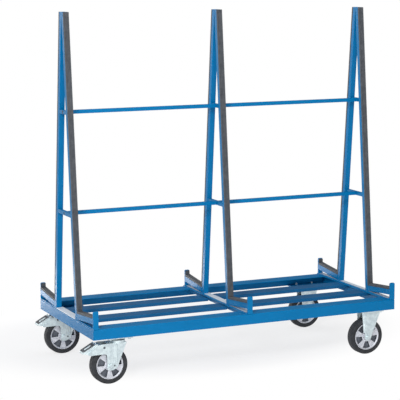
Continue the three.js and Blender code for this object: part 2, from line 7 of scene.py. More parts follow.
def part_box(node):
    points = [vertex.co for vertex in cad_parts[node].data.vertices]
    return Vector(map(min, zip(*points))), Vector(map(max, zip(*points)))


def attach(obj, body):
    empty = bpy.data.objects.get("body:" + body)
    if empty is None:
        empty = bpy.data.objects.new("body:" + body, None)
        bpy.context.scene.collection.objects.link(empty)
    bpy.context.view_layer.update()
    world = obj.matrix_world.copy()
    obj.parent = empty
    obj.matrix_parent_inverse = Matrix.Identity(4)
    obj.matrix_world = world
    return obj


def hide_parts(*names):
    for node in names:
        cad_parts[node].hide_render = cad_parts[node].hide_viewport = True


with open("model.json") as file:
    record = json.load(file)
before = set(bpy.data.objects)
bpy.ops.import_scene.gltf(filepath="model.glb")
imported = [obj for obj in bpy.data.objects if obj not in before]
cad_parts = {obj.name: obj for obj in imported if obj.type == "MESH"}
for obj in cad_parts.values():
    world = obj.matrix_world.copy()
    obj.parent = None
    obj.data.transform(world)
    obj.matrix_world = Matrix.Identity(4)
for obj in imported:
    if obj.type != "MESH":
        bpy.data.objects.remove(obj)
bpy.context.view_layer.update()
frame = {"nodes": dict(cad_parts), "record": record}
nodes = frame["nodes"]
print("frame loaded:", len(nodes), "nodes")

sides = {"front": -1, "rear": 1}
ends = ("left", "right")
stations = ("left", "mid", "right")
leanTan = math.tan(math.radians(5.36))  # slope of the legs, the same for the arms
facing = 0.9  # a face looks along an axis when its normal has at least this share of it


def camel(*words):
    return words[0] + "".join(word.capitalize() for word in words[1:])


# selecting and finishing pieces, with angles in degrees
finishing = {"merge": 1e-6, "smoothBelow": 40, "roundAbove": 35, "roundSteps": 2}


def deselectAll():
    if bpy.context.mode != "OBJECT":
        bpy.ops.object.mode_set(mode="OBJECT")
    bpy.ops.object.select_all(action="DESELECT")


def selectPieces(*pieces):  # the first becomes the active one
    deselectAll()
    for piece in pieces:
        piece.select_set(True)
    bpy.context.view_layer.objects.active = pieces[0]


def openPiece(name):  # the primitive just added becomes a piece in edit mode, all selected
    piece = bpy.context.object
    piece.name = name
    piece.data.name = name
    bpy.ops.object.mode_set(mode="EDIT")
    bpy.ops.mesh.select_all(action="SELECT")
    return piece


def settle():  # puts the piece's place into its mesh, so that picks read true places
    bpy.ops.object.mode_set(mode="OBJECT")
    bpy.ops.object.transform_apply(location=True, rotation=True, scale=True)


def pick(piece, kind, test):  # selects elements by place, leaves edit mode on
    bpy.ops.object.mode_set(mode="OBJECT")
    mesh = piece.data
    for group in (mesh.vertices, mesh.edges, mesh.polygons):
        group.foreach_set("select", [False] * len(group))
    if kind == "VERT":
        for vertex in mesh.vertices:
            vertex.select = test(vertex.co)
    elif kind == "EDGE":
        for edge in mesh.edges:
            a, b = (mesh.vertices[i].co for i in edge.vertices)
            edge.select = test(a, b)
    else:
        for face in mesh.polygons:
            face.select = test(face.center, face.normal)
    bpy.context.tool_settings.mesh_select_mode = (kind == "VERT", kind == "EDGE", kind == "FACE")
    bpy.ops.object.mode_set(mode="EDIT")


def slide(offset):
    bpy.ops.transform.translate(value=offset)


def extrude(offset):
    bpy.ops.mesh.extrude_region_move(TRANSFORM_OT_translate={"value": offset})


def closePiece(piece, smoothBelow=finishing["smoothBelow"]):  # merged, outward, its place in its mesh
    bpy.ops.object.mode_set(mode="EDIT")
    bpy.ops.mesh.select_all(action="SELECT")
    bpy.ops.mesh.remove_doubles(threshold=finishing["merge"])
    bpy.ops.mesh.normals_make_consistent(inside=False)
    selectPieces(piece)
    settle()
    bpy.ops.object.shade_smooth_by_angle(angle=math.radians(smoothBelow))


def addBevel(piece, name, width, above):
    bevel = piece.modifiers.new(name, "BEVEL")
    bevel.width = width
    bevel.segments = finishing["roundSteps"]
    bevel.limit_method = "ANGLE"
    bevel.angle_limit = math.radians(above)
    return bevel


def finishPiece(piece, width):  # closed, with its edges rounded
    closePiece(piece)
    bevel = addBevel(piece, "edgeRound", width, finishing["roundAbove"])
    bpy.ops.object.modifier_apply(modifier=bevel.name)
    closePiece(piece)


def copyPiece(piece, name, move):  # each copy has its own mesh
    twin = piece.copy()
    twin.data = piece.data.copy()
    twin.name = name
    twin.data.name = name
    bpy.context.scene.collection.objects.link(twin)
    twin.data.transform(move)
    return twin


def shift(x, y, z):
    return Matrix.Translation(Vector((x, y, z)))


def turn(degrees, axis):
    return Matrix.Rotation(math.radians(degrees), 4, axis)


def joinPieces(pieces, name):
    selectPieces(*pieces)
    bpy.ops.object.join()
    whole = bpy.context.object
    whole.name = name
    whole.data.name = name
    return whole


def placeCopies(pattern, name, moves):  # copies of one pattern, joined into one piece
    return joinPieces([copyPiece(pattern, name + str(i), move) for i, move in enumerate(moves)], name)


def fit(piece, material, body, slot, *replaced):
    piece.data.materials.clear()
    piece.data.materials.append(material)
    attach(piece, body)
    if replaced:
        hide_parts(*replaced)


# nodes for the materials
noiseReach = (0.3, 0.7)  # most of a noise lies between these


def fromScreen(red, green, blue):  # 0 to 255 as seen on a screen, to Blender's linear colour
    shares = [c / 255 for c in (red, green, blue)]
    linear = [((c + 0.055) / 1.055) ** 2.4 if c > 0.04045 else c / 12.92 for c in shares]
    return (*linear, 1.0)


def startMaterial(name, roughness, metallic, level):
    material = bpy.data.materials.new(name)
    material.use_nodes = True
    tree = material.node_tree
    shader = tree.nodes["Principled BSDF"]
    shader.inputs["Metallic"].default_value = metallic
    shader.inputs["Roughness"].default_value = roughness
    shader.inputs["Specular IOR Level"].default_value = level
    where = tree.nodes.new("ShaderNodeTexCoord").outputs["Object"]
    return material, tree, shader, where


def addNoise(tree, where, scale, detail):
    noise = tree.nodes.new("ShaderNodeTexNoise")
    noise.inputs["Scale"].default_value = scale
    noise.inputs["Detail"].default_value = detail
    tree.links.new(where, noise.inputs["Vector"])
    return noise.outputs["Fac"]


def addRamp(tree, source, target, stops, tones):
    ramp = tree.nodes.new("ShaderNodeValToRGB")
    for element, stop, tone in zip(ramp.color_ramp.elements, stops, tones):
        element.position = stop
        element.color = fromScreen(*tone)
    tree.links.new(source, ramp.inputs["Fac"])
    tree.links.new(ramp.outputs["Color"], target)


def addSpread(tree, source, reach, result, kind="LINEAR"):  # values in reach stretched over the result
    spread = tree.nodes.new("ShaderNodeMapRange")
    spread.interpolation_type = kind
    for key, value in zip(("From Min", "From Max", "To Min", "To Max"), (*reach, *result)):
        spread.inputs[key].default_value = value
    tree.links.new(source, spread.inputs["Value"])
    return spread.outputs["Result"]


def addMath(tree, operation, first, second):
    step = tree.nodes.new("ShaderNodeMath")
    step.operation = operation
    tree.links.new(first, step.inputs[0])
    tree.links.new(second, step.inputs[1])
    return step.outputs["Value"]


def addBand(tree, value, middle, reach):  # 1 within reach of the middle, 0 elsewhere
    band = tree.nodes.new("ShaderNodeMath")
    band.operation = "COMPARE"
    band.inputs[1].default_value = middle
    band.inputs[2].default_value = reach
    tree.links.new(value, band.inputs[0])
    return band.outputs["Value"]


def addBlend(tree, share, first, second):  # shows the first shader at share 0 and the second at 1
    blend = tree.nodes.new("ShaderNodeMixShader")
    for socket, source in zip(blend.inputs, (share, first, second)):
        tree.links.new(source, socket)
    return blend.outputs["Shader"]


# finishes: cloud, gloss and grain are noises with a scale and a detail, bump has strength and depth
paint = {"start": 0.38, "metal": 0.0, "level": 0.13, "cloud": (6, 4), "stops": (0.3, 0.7),
         "gloss": (25, 4), "rough": (0.34, 0.42), "grain": (700, 2), "bump": (0.08, 0.0002)}
rubber = {"start": 0.7, "metal": 0.0, "level": 0.5, "cloud": (40, 6), "stops": (0.35, 0.7),
          "gloss": (90, 4), "grain": (1400, 3), "bump": (0.25, 0.0002)}
casting = {"start": 0.42, "level": 0.5, "cloud": (80, 5), "stops": (0.3, 0.7),
           "gloss": (120, 4), "grain": (1100, 3), "bump": (0.2, 0.0003)}

# satin powder coat with a fine orange peel; the slats and middle cross member take a darker, duller tone
# that is painted shade
blueLook = {**paint, "tones": ((0, 107, 161), (0, 112, 168))}
slatShadeLook = {**paint, "tones": ((18, 84, 130), (24, 92, 140))}
footLook = {**paint, "tones": ((196, 206, 216), (212, 220, 228))}
# black extruded rubber, dulled by handling
stripLook = {**rubber, "tones": ((58, 62, 68), (74, 77, 82)), "rough": (0.6, 0.75)}
# the pedal tread's dark tone is partly rubber and partly painted shade along the pedal's edges
treadShadeLook = {**rubber, "tones": ((46, 50, 56), (60, 64, 70)), "rough": (0.5, 0.65)}
# bright zinc plate with faint cloudy patches
zincLook = {"start": 0.36, "metal": 0.55, "level": 0.5, "cloud": (45, 5), "stops": (0.3, 0.7),
            "tones": ((184, 197, 202), (216, 229, 231)), "gloss": (150, 5), "rough": (0.3, 0.44),
            "grain": (900, 2), "bump": (0.06, 0.0002)}
# tumbled casting, the pockets darker as painted shade in their recesses, and the dark steel of the rivets
rimLook = {**casting, "metal": 0.6, "tones": ((188, 191, 199), (214, 216, 222)), "rough": (0.52, 0.68)}
pocketShadeLook = {**casting, "metal": 0.5, "tones": ((88, 93, 102), (112, 117, 126)), "rough": (0.5, 0.65)}
steelLook = {**casting, "metal": 0.6, "tones": ((62, 66, 72), (84, 88, 94)), "rough": (0.4, 0.55)}
# solid rubber, a little dusty
tyreLook = {"start": 0.8, "metal": 0.0, "level": 0.5, "cloud": (30, 6), "stops": (0.35, 0.72),
            "tones": ((31, 33, 37), (45, 47, 51)), "gloss": (70, 4), "rough": (0.7, 0.88),
            "grain": (1500, 3), "bump": (0.3, 0.0002)}


def makeFinish(name, look):
    material, tree, shader, where = startMaterial(name, look["start"], look["metal"], look["level"])
    addRamp(tree, addNoise(tree, where, *look["cloud"]), shader.inputs["Base Color"],
            look["stops"], look["tones"])
    gloss = addSpread(tree, addNoise(tree, where, *look["gloss"]), noiseReach, look["rough"])
    tree.links.new(gloss, shader.inputs["Roughness"])
    bump = tree.nodes.new("ShaderNodeBump")
    bump.inputs["Strength"].default_value, bump.inputs["Distance"].default_value = look["bump"]
    tree.links.new(addNoise(tree, where, *look["grain"]), bump.inputs["Height"])
    tree.links.new(bump.outputs["Normal"], shader.inputs["Normal"])
    return material


# the pale strips on the foot bars: each bar's left edge and half length, and the blue beside them
footStrips = {"width": 0.046, "bars": ((-0.876, 0.152), (0.010, 0.400), (0.895, 0.400)),
              "beside": (0, 110, 165)}


def addStripMask(tree, where):  # 1 on the pale strips, 0 elsewhere
    place = tree.nodes.new("ShaderNodeSeparateXYZ")
    tree.links.new(where, place.inputs["Vector"])
    half = footStrips["width"] / 2
    strips = [addMath(tree, "MULTIPLY", addBand(tree, place.outputs["X"], edge + half, half),
                      addBand(tree, place.outputs["Y"], 0.0, reach)) for edge, reach in footStrips["bars"]]
    return addMath(tree, "MAXIMUM", strips[0], addMath(tree, "MAXIMUM", strips[1], strips[2]))


def makeFootFinish():  # pale bar tops behind the legs' left faces, blue beside them
    material = makeFinish("footFinish", footLook)
    tree = material.node_tree
    shader = tree.nodes["Principled BSDF"]
    pale = shader.inputs["Base Color"].links[0].from_socket
    where = tree.nodes.new("ShaderNodeTexCoord").outputs["Object"]
    blend = tree.nodes.new("ShaderNodeMix")
    blend.data_type = "RGBA"
    blend.inputs["A"].default_value = fromScreen(*footStrips["beside"])
    tree.links.new(addStripMask(tree, where), blend.inputs["Factor"])
    tree.links.new(pale, blend.inputs["B"])
    tree.links.new(blend.outputs["Result"], shader.inputs["Base Color"])
    return material


bluePaint = makeFinish("bluePaint", blueLook)
slatShadePaint = makeFinish("slatShadePaint", slatShadeLook)
footFinish = makeFootFinish()
stripRubber = makeFinish("stripRubber", stripLook)
zincPlate = makeFinish("zincPlate", zincLook)
boltZinc = makeFinish("boltZinc", zincLook)
castAluminium = makeFinish("castAluminium", rimLook)
pocketShadeAluminium = makeFinish("pocketShadeAluminium", pocketShadeLook)
tyreRubber = makeFinish("tyreRubber", tyreLook)
treadShadeRubber = makeFinish("treadShadeRubber", treadShadeLook)
darkSteel = makeFinish("darkSteel", steelLook)
finishOfSlot = {"blue_paint": bluePaint, "black_rubber": stripRubber, "zinc_plate": zincPlate,
                "bolt_steel": boltZinc, "cast_aluminium": castAluminium, "tyre_rubber": tyreRubber}
# the slats and middle cross member get the darker slat tone, painted shade on their tops
finishOfStart = {"slat_": slatShadePaint, "mid_cross": slatShadePaint, "foot_bar": footFinish}
print("materials made:", len(bpy.data.materials))


# the construction parts keep their shape: edges eased by live modifiers, finishes on their slots
easing = {"widths": {"blue_paint": 0.0009, "zinc_plate": 0.0006, "bolt_steel": 0.0006},
          "merge": 1e-5, "above": 32}

for subpart in frame["record"]["subparts"]:
    node = nodes[subpart["node"]]
    slot = subpart["material_slot"]
    special = [paintOver for start, paintOver in finishOfStart.items() if subpart["node"].startswith(start)]
    node.data.materials.clear()
    node.data.materials.append(special[0] if special else finishOfSlot[slot])
    if slot in easing["widths"]:
        node.modifiers.new("weld", "WELD").merge_threshold = easing["merge"]
        addBevel(node, "ease", easing["widths"][slot], easing["above"])
print("construction parts finished")


# rubber strips on the legs and arms: a ribbed section pushed along the lean
strip = {"ribs": 4, "cells": 3, "grooveDepth": 0.0022, "edgeRound": 0.0010, "armGap": 0.001}


def makeStrip(kind, station, side, place, tilt, size, sink, push):  # grooves sunk in one side
    node = "_".join((kind, "pad", station, side))
    low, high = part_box(node)
    columns = strip["ribs"] * strip["cells"]
    cell = (high.x - low.x) / columns
    deselectAll()
    bpy.ops.mesh.primitive_grid_add(x_subdivisions=columns, y_subdivisions=1, size=1,
                                    location=place, rotation=(tilt, 0, 0))
    piece = openPiece(camel(kind, "strip", station, side))
    bpy.ops.transform.resize(value=size)
    settle()

    def inGroove(co):
        column = round((co.x - low.x) / cell)
        return (co - place).dot(sink) < 0 and column % strip["cells"] == 0 and 0 < column < columns

    pick(piece, "VERT", inGroove)
    slide(sink)
    bpy.ops.mesh.select_all(action="SELECT")
    extrude(push)
    finishPiece(piece, strip["edgeRound"])
    fit(piece, stripRubber, "cart_frame", "black_rubber", node)


def makeLegStrip(station, side):
    low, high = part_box("leg_pad_" + station + "_" + side)
    sign = sides[side]
    run = (high.z - low.z) * leanTan
    depth = (high.y - low.y) - run
    foot = high.y - depth / 2 if sign > 0 else low.y + depth / 2
    place = Vector(((low.x + high.x) / 2, foot, low.z))
    makeStrip("leg", station, side, place, 0, (high.x - low.x, depth, 1),
              Vector((0, -sign * strip["grooveDepth"], 0)), (0, -sign * run, high.z - low.z))


def makeArmStrip(station, side):
    low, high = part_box("arm_pad_" + station + "_" + side)
    sign = sides[side]
    rise = (high.y - low.y) * leanTan
    height = (high.z - low.z) - rise
    gap = sign * strip["armGap"]
    inner, outer = (low.y, high.y) if sign > 0 else (high.y, low.y)
    place = Vector(((low.x + high.x) / 2, inner + gap, low.z + height / 2))
    makeStrip("arm", station, side, place, math.pi / 2, (high.x - low.x, 1, height),
              Vector((0, 0, -strip["grooveDepth"])), (0, outer - inner - gap, rise))


for station in stations:
    for side in sides:
        makeLegStrip(station, side)
        makeArmStrip(station, side)


stopPad = {"half": 0.0138, "clear": 0.0006, "below": 0.0026, "corner": 0.0055, "cornerSteps": 4,
           "thick": 0.0038, "rim": 0.0026, "dish": 0.0009, "edgeRound": 0.0006}


def makeStopPad():  # rubber that looks along -Y from the inner face of a stop, above the arm's strip
    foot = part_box("arm_pad_mid_rear")[1].z + stopPad["clear"]
    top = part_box("arm_mid_rear")[1].z - stopPad["below"]
    deselectAll()
    bpy.ops.mesh.primitive_plane_add(size=2)
    pattern = openPiece("stopPad")
    bpy.ops.transform.resize(value=(stopPad["half"], (top - foot) / 2, 1))
    settle()
    pick(pattern, "VERT", lambda co: co.y > 0)
    bpy.ops.mesh.bevel(offset=stopPad["corner"], segments=stopPad["cornerSteps"], affect="VERTICES")
    bpy.ops.mesh.select_all(action="SELECT")
    extrude((0, 0, stopPad["thick"]))
    pick(pattern, "FACE", lambda centre, normal: abs(normal.z) > facing and centre.z > stopPad["thick"] / 2)
    bpy.ops.mesh.inset(thickness=stopPad["rim"])
    slide((0, 0, -stopPad["dish"]))
    finishPiece(pattern, stopPad["edgeRound"])
    pattern.data.transform(shift(0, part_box("foot_bar_mid")[1].y, (foot + top) / 2) @ turn(90, "X"))
    return pattern


stopPattern = makeStopPad()
moves = []
for station in stations:
    low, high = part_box("arm_" + station + "_rear")
    along = shift((low.x + high.x) / 2, 0, 0)
    moves += [along, along @ turn(180, "Z")]
fit(placeCopies(stopPattern, "stopPads", moves), stripRubber, "cart_frame", "black_rubber")
bpy.data.objects.remove(stopPattern)
print("rubber strips made")


# wheels: turned tyre and cast rim with wedge pockets
wheelFit = {"cover": 0.0025, "gap": 0.0003}  # the tyre's bead covers the edge of the rim
tyreForm = {"turns": 96, "crown": 0.009, "crownSteps": 5, "heel": 0.002, "heelSteps": 2, "near": 1e-4}


def makeTyre(end, side):
    node = "tyre_" + end + "_" + side
    low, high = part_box(node)
    middle = (low + high) / 2
    radius = (high.z - low.z) / 2
    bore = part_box("rim_" + end + "_" + side)[1].z - middle.z - wheelFit["cover"] + wheelFit["gap"]
    halfway = middle.z + (radius + bore) / 2
    deselectAll()
    bpy.ops.mesh.primitive_plane_add(size=1, rotation=(0, math.pi / 2, 0),
                                     location=(middle.x, middle.y, halfway))
    piece = openPiece(camel("tyre", end, side))
    bpy.ops.transform.resize(value=(1, high.y - low.y, radius - bore))
    settle()
    pick(piece, "VERT", lambda co: co.z > halfway)
    bpy.ops.mesh.bevel(offset=tyreForm["crown"], segments=tyreForm["crownSteps"], affect="VERTICES")
    pick(piece, "VERT", lambda co: co.z < middle.z + bore + tyreForm["near"])
    bpy.ops.mesh.bevel(offset=tyreForm["heel"], segments=tyreForm["heelSteps"], affect="VERTICES")
    bpy.ops.mesh.select_all(action="SELECT")
    bpy.ops.mesh.delete(type="ONLY_FACE")
    bpy.ops.mesh.select_all(action="SELECT")
    bpy.ops.mesh.spin(steps=tyreForm["turns"], angle=2 * math.pi, center=middle, axis=(0, 1, 0))
    closePiece(piece)
    fit(piece, tyreRubber, "wheel_" + end + "_" + side, "tyre_rubber", node)


rimForm = {"facets": 90, "half": 0.024, "lip": 0.0035, "flare": 0.0040, "pocketInner": 0.0285,
           "pocketOuter": 0.0665, "hub": 0.022, "bore": 0.0063, "pocketDepth": 0.0155, "pockets": 5,
           "pocketHalf": 19.0, "pocketInset": 0.0002, "discHalf": 0.020, "draft": 0.0018,
           "edgeRound": 0.0012, "nearBore": 3e-4, "nearPocket": 0.001}


def makeRim(end, side):
    node = "rim_" + end + "_" + side
    low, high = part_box(node)
    middle = (low + high) / 2
    radius = (high.z - low.z) / 2 - wheelFit["cover"]
    hubHalf = (high.y - low.y) / 2
    deselectAll()
    bpy.ops.mesh.primitive_cylinder_add(vertices=rimForm["facets"], radius=radius,
                                        depth=2 * rimForm["half"], location=middle,
                                        rotation=(math.pi / 2, 0, 0))
    piece = openPiece(camel("rim", end, side))
    settle()
    for way in (-1, 1):  # the two faces of the wheel
        pick(piece, "FACE", lambda centre, normal: normal.y * way > facing)
        bpy.ops.mesh.inset(thickness=rimForm["lip"])
        bpy.ops.mesh.inset(thickness=rimForm["flare"])
        slide((0, -way * (rimForm["half"] - rimForm["discHalf"]), 0))
        bpy.ops.mesh.inset(thickness=radius - rimForm["lip"] - rimForm["flare"] - rimForm["pocketOuter"])
        bpy.ops.mesh.inset(thickness=rimForm["pocketOuter"] - rimForm["pocketInner"])
        bpy.ops.mesh.inset(thickness=rimForm["pocketInner"] - rimForm["hub"])
        extrude((0, way * (hubHalf - rimForm["discHalf"]), 0))
        bpy.ops.mesh.inset(thickness=rimForm["hub"] - rimForm["bore"])
        bpy.ops.mesh.delete(type="FACE")

    def atBore(co):
        return abs((co - middle).xz.length - rimForm["bore"]) < rimForm["nearBore"]

    pick(piece, "EDGE", lambda a, b: atBore(a) and atBore(b))
    bpy.ops.mesh.bridge_edge_loops()
    step = 2 * math.pi / rimForm["pockets"]
    spokeTurn = 0 if end == "left" else step / 2

    def inPocket(centre, normal):
        flat = centre - middle
        reach = math.hypot(flat.x, flat.z)
        if abs(normal.y) < facing or not rimForm["pocketInner"] < reach < rimForm["pocketOuter"]:
            return False
        off = (math.atan2(flat.x, flat.z) + spokeTurn + step / 2) % step - step / 2
        return abs(off) < math.radians(rimForm["pocketHalf"])

    for way in (-1, 1):
        pick(piece, "FACE", lambda centre, normal: normal.y * way > 0 and inPocket(centre, normal))
        bpy.ops.mesh.inset(thickness=rimForm["pocketInset"])
        extrude((0, -way * rimForm["pocketDepth"], 0))
        bpy.ops.mesh.inset(thickness=rimForm["draft"])
    finishPiece(piece, rimForm["edgeRound"])
    fit(piece, castAluminium, "wheel_" + end + "_" + side, "cast_aluminium", node)
    # the pocket floors and walls take the darker pocket finish: painted shade in the recesses
    piece.data.materials.append(pocketShadeAluminium)
    ringLow = rimForm["pocketInner"] - rimForm["nearPocket"]
    ringHigh = rimForm["pocketOuter"] + rimForm["nearPocket"]
    for face in piece.data.polygons:
        flat = face.center - middle
        if ringLow < flat.xz.length < ringHigh and abs(flat.y) < rimForm["discHalf"] - rimForm["edgeRound"]:
            face.material_index = 1


for end in ends:
    for side in sides:
        makeTyre(end, side)
        makeRim(end, side)
print("wheels made")


# small hardware: bolts, rivets and plugs are modelled once at the origin, then copied into place
bolt = {"hex": 0.0075, "hexCorners": 6, "hexEase": 0.0009, "head": 0.0053, "nut": 0.0065,
        "washer": 0.0085, "washerThick": 0.0016, "washerFacets": 24, "washerEase": 0.0002,
        "thread": 0.004, "tip": 0.003, "tipFacets": 16, "tipEase": 0.0006, "sink": 0.001,
        "plate": 0.006, "stack": 0.012, "reach": (0.0525, 0.040), "smoothBelow": 30}


def makeDisc(name, corners, radius, low, high, ease):  # upright hex or round blank with both faces eased
    deselectAll()
    bpy.ops.mesh.primitive_cylinder_add(vertices=corners, radius=radius, depth=high - low,
                                        location=(0, 0, (low + high) / 2))
    blank = openPiece(name)
    settle()
    for way in (1, -1):
        pick(blank, "FACE", lambda centre, normal: normal.z * way > facing)
        bpy.ops.mesh.inset(thickness=ease)
        slide((0, 0, way * ease / 2))
    closePiece(blank, bolt["smoothBelow"])
    return blank


def makeCasterBolt():  # head and washer under the caster's plate, nut and thread end over the corner plate
    under = -bolt["plate"] - bolt["washerThick"]
    over = bolt["stack"] - bolt["plate"]
    nutTop = over + bolt["nut"]
    parts = [makeDisc("boltWasher", bolt["washerFacets"], bolt["washer"], under, -bolt["plate"],
                      bolt["washerEase"]),
             makeDisc("boltHead", bolt["hexCorners"], bolt["hex"], under - bolt["head"], under,
                      bolt["hexEase"]),
             makeDisc("boltNut", bolt["hexCorners"], bolt["hex"], over, nutTop, bolt["hexEase"]),
             makeDisc("boltTip", bolt["tipFacets"], bolt["thread"], nutTop - bolt["sink"],
                      nutTop + bolt["tip"], bolt["tipEase"])]
    return joinPieces(parts, "casterBolt")


boltPattern = makeCasterBolt()
for side in sides:
    for plate, label in (("caster_plate_", "swivel"), ("fixed_bracket_", "fixed")):
        low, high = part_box(plate + side)
        middle = (low + high) / 2
        moves = [shift(middle.x + x * bolt["reach"][0], middle.y + y * bolt["reach"][1], high.z)
                 for x in (-1, 1) for y in (-1, 1)]
        bolts = placeCopies(boltPattern, camel("caster", "bolts", label, side), moves)
        fit(bolts, boltZinc, "cart_frame", "bolt_steel")
bpy.data.objects.remove(boltPattern)
print("caster bolts made")


seal = {"inner": 0.0383, "outer": 0.0405, "foot": 0.2322, "top": 0.2385, "facets": 48, "edgeRound": 0.0006,
        "near": 0.0005}


def makeSeal(side):  # dust seal round the bearing race; its black rubber also stands in as painted shade in the gap under the caster plate
    low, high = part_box("caster_plate_" + side)
    middle = (low + high) / 2
    deselectAll()
    bpy.ops.mesh.primitive_cylinder_add(vertices=seal["facets"], radius=seal["outer"],
                                        depth=seal["top"] - seal["foot"],
                                        location=(middle.x, middle.y, (seal["top"] + seal["foot"]) / 2))
    piece = openPiece(camel("dust", "seal", side))
    settle()
    for way in (-1, 1):
        pick(piece, "FACE", lambda centre, normal: normal.z * way > facing)
        bpy.ops.mesh.inset(thickness=seal["outer"] - seal["inner"])
        bpy.ops.mesh.delete(type="FACE")

    def atInner(co):
        return (co - middle).xy.length < seal["inner"] + seal["near"]

    pick(piece, "EDGE", lambda a, b: atInner(a) and atInner(b))
    bpy.ops.mesh.bridge_edge_loops()
    finishPiece(piece, seal["edgeRound"])
    fit(piece, stripRubber, "cart_frame", "black_rubber")


tread = {"crest": (-0.128, 0.222), "tip": (-0.205, 0.180), "from": 0.10, "to": 0.92, "half": 0.027,
         "band": 0.0150, "corner": 0.006, "cornerSteps": 4, "start": 0.004, "thick": 0.0022,
         "edgeRound": 0.0007}


def makeTread(side):  # rubber frame on the pedal with the bare metal showing in its middle; its dark border also stands in as painted shade along the pedal's raised edges
    kingpin = [sum(pair) / 2 for pair in zip(*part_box("kingpin_" + side))]
    run = tread["tip"][0] - tread["crest"][0]
    fall = tread["tip"][1] - tread["crest"][1]
    slope = math.atan2(-fall, -run)
    half = math.hypot(run, fall) * (tread["to"] - tread["from"]) / 2
    along = (tread["to"] + tread["from"]) / 2
    place = (kingpin[0] + tread["crest"][0] + run * along, kingpin[1], tread["crest"][1] + fall * along)
    deselectAll()
    bpy.ops.mesh.primitive_plane_add(size=2)
    piece = openPiece(camel("pedal", "tread", side))
    bpy.ops.transform.resize(value=(half, tread["half"], 1))
    bpy.ops.mesh.bevel(offset=tread["corner"], segments=tread["cornerSteps"], affect="VERTICES")
    bpy.ops.mesh.select_all(action="SELECT")
    bpy.ops.mesh.inset(thickness=tread["start"])
    opening = [(size - tread["band"]) / (size - tread["start"]) for size in (half, tread["half"])]
    bpy.ops.transform.resize(value=(*opening, 1))
    bpy.ops.mesh.delete(type="FACE")
    bpy.ops.mesh.select_all(action="SELECT")
    extrude((0, 0, tread["thick"]))
    finishPiece(piece, tread["edgeRound"])
    piece.data.transform(shift(*place) @ turn(-math.degrees(slope), "Y"))
    fit(piece, treadShadeRubber, "pedal_" + side, "black_rubber")


rivet = {"pin": (-0.087, 0.200), "pinRadius": 0.0058, "stud": (-0.030, 0.099), "studRadius": 0.0042,
         "rise": 0.0022, "facets": 20, "fork": 0.0371, "domeSteps": (0.25, 0.3), "smoothBelow": 60}


def makeRivet(name, radius):  # domed head that looks along -Y
    deselectAll()
    bpy.ops.mesh.primitive_cylinder_add(vertices=rivet["facets"], radius=radius, depth=rivet["rise"] / 2,
                                        location=(0, -rivet["rise"] / 4, 0), rotation=(math.pi / 2, 0, 0))
    head = openPiece(name)
    settle()
    pick(head, "FACE", lambda centre, normal: normal.y < -facing)
    for share in rivet["domeSteps"]:
        bpy.ops.mesh.inset(thickness=radius * share)
        slide((0, -rivet["rise"] / 4, 0))
    closePiece(head, rivet["smoothBelow"])
    return head


pinPattern = makeRivet("pinHead", rivet["pinRadius"])
studPattern = makeRivet("studHead", rivet["studRadius"])
for side in sides:
    low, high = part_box("kingpin_" + side)
    swivelX, swivelY = (low.x + high.x) / 2, (low.y + high.y) / 2
    for pattern, spot, body, label in ((pinPattern, rivet["pin"], "pedal_", "pedalPinHeads"),
                                       (studPattern, rivet["stud"], "swivel_", "forkStuds")):
        moves = [shift(swivelX + spot[0], swivelY - way * rivet["fork"], spot[1]) @ turn(90 - way * 90, "Z")
                 for way in (1, -1)]
        fit(placeCopies(pattern, camel(label, side), moves), darkSteel, body + side, "bolt_steel")
    makeSeal(side)
    makeTread(side)
bpy.data.objects.remove(pinPattern)
bpy.data.objects.remove(studPattern)
print("seals, treads and rivets made")


plug = {"half": 0.0078, "depth": 0.006, "gap": 0.0003, "inset": 0.003, "dish": 0.0012, "edgeRound": 0.0006}


def makePlug():  # plastic plug that closes a bar's open end, looking along -X
    deselectAll()
    bpy.ops.mesh.primitive_cube_add(size=1, location=(plug["depth"] / 2 + plug["gap"], 0, 0))
    piece = openPiece("barPlug")
    bpy.ops.transform.resize(value=(plug["depth"], 2 * plug["half"], 2 * plug["half"]))
    settle()
    pick(piece, "FACE", lambda centre, normal: normal.x < -facing)
    bpy.ops.mesh.inset(thickness=plug["inset"])
    slide((plug["dish"], 0, 0))
    finishPiece(piece, plug["edgeRound"])
    return piece


plugPattern = makePlug()
moves = []
for bar in ("upper_bar", "lower_bar"):
    low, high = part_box(bar)
    height = (low.z + high.z) / 2
    moves += [shift(low.x, 0, height), shift(high.x, 0, height) @ turn(180, "Z")]
fit(placeCopies(plugPattern, "barPlugs", moves), stripRubber, "cart_frame", "black_rubber")
bpy.data.objects.remove(plugPattern)


weld = {"radius": 0.0026, "ripple": 0.0028, "sides": 8, "swell": 1.14, "first": 0.55,
        "open": 1.6, "close": 0.6, "smoothBelow": 70,
        "lengths": {"tie": 0.020, "foot": 0.025, "face": 0.030},
        "legDepth": 0.0251, "tieWidth": 0.02, "margin": 0.01}


def makeBead(name, length):  # rippled weld bead along +X from the origin
    deselectAll()
    bpy.ops.mesh.primitive_circle_add(vertices=weld["sides"], radius=weld["radius"] * weld["first"],
                                      fill_type="NGON", rotation=(0, math.pi / 2, 0))
    bead = openPiece(name)
    settle()
    bpy.ops.object.mode_set(mode="EDIT")
    bpy.ops.mesh.select_all(action="SELECT")
    steps = 2 * round(length / weld["ripple"])
    ripples = [weld["swell"] if i % 2 else 1 / weld["swell"] for i in range(1, steps - 1)]
    for size in (weld["open"], *ripples, weld["close"]):
        extrude((length / steps, 0, 0))
        bpy.ops.transform.resize(value=(1, size, size))
    closePiece(bead, weld["smoothBelow"])
    return bead


def beadMove(start, end):  # from the pattern's own +X to the seam
    start, end = Vector(start), Vector(end)
    return Matrix.Translation(start) @ (end - start).to_track_quat("X", "Z").to_matrix().to_4x4()


def legFace(height, outer):  # distance of a leg's face from the middle plane
    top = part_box("leg_left_rear")[1].z
    return (top - height) * leanTan + (weld["legDepth"] if outer else 0.0)


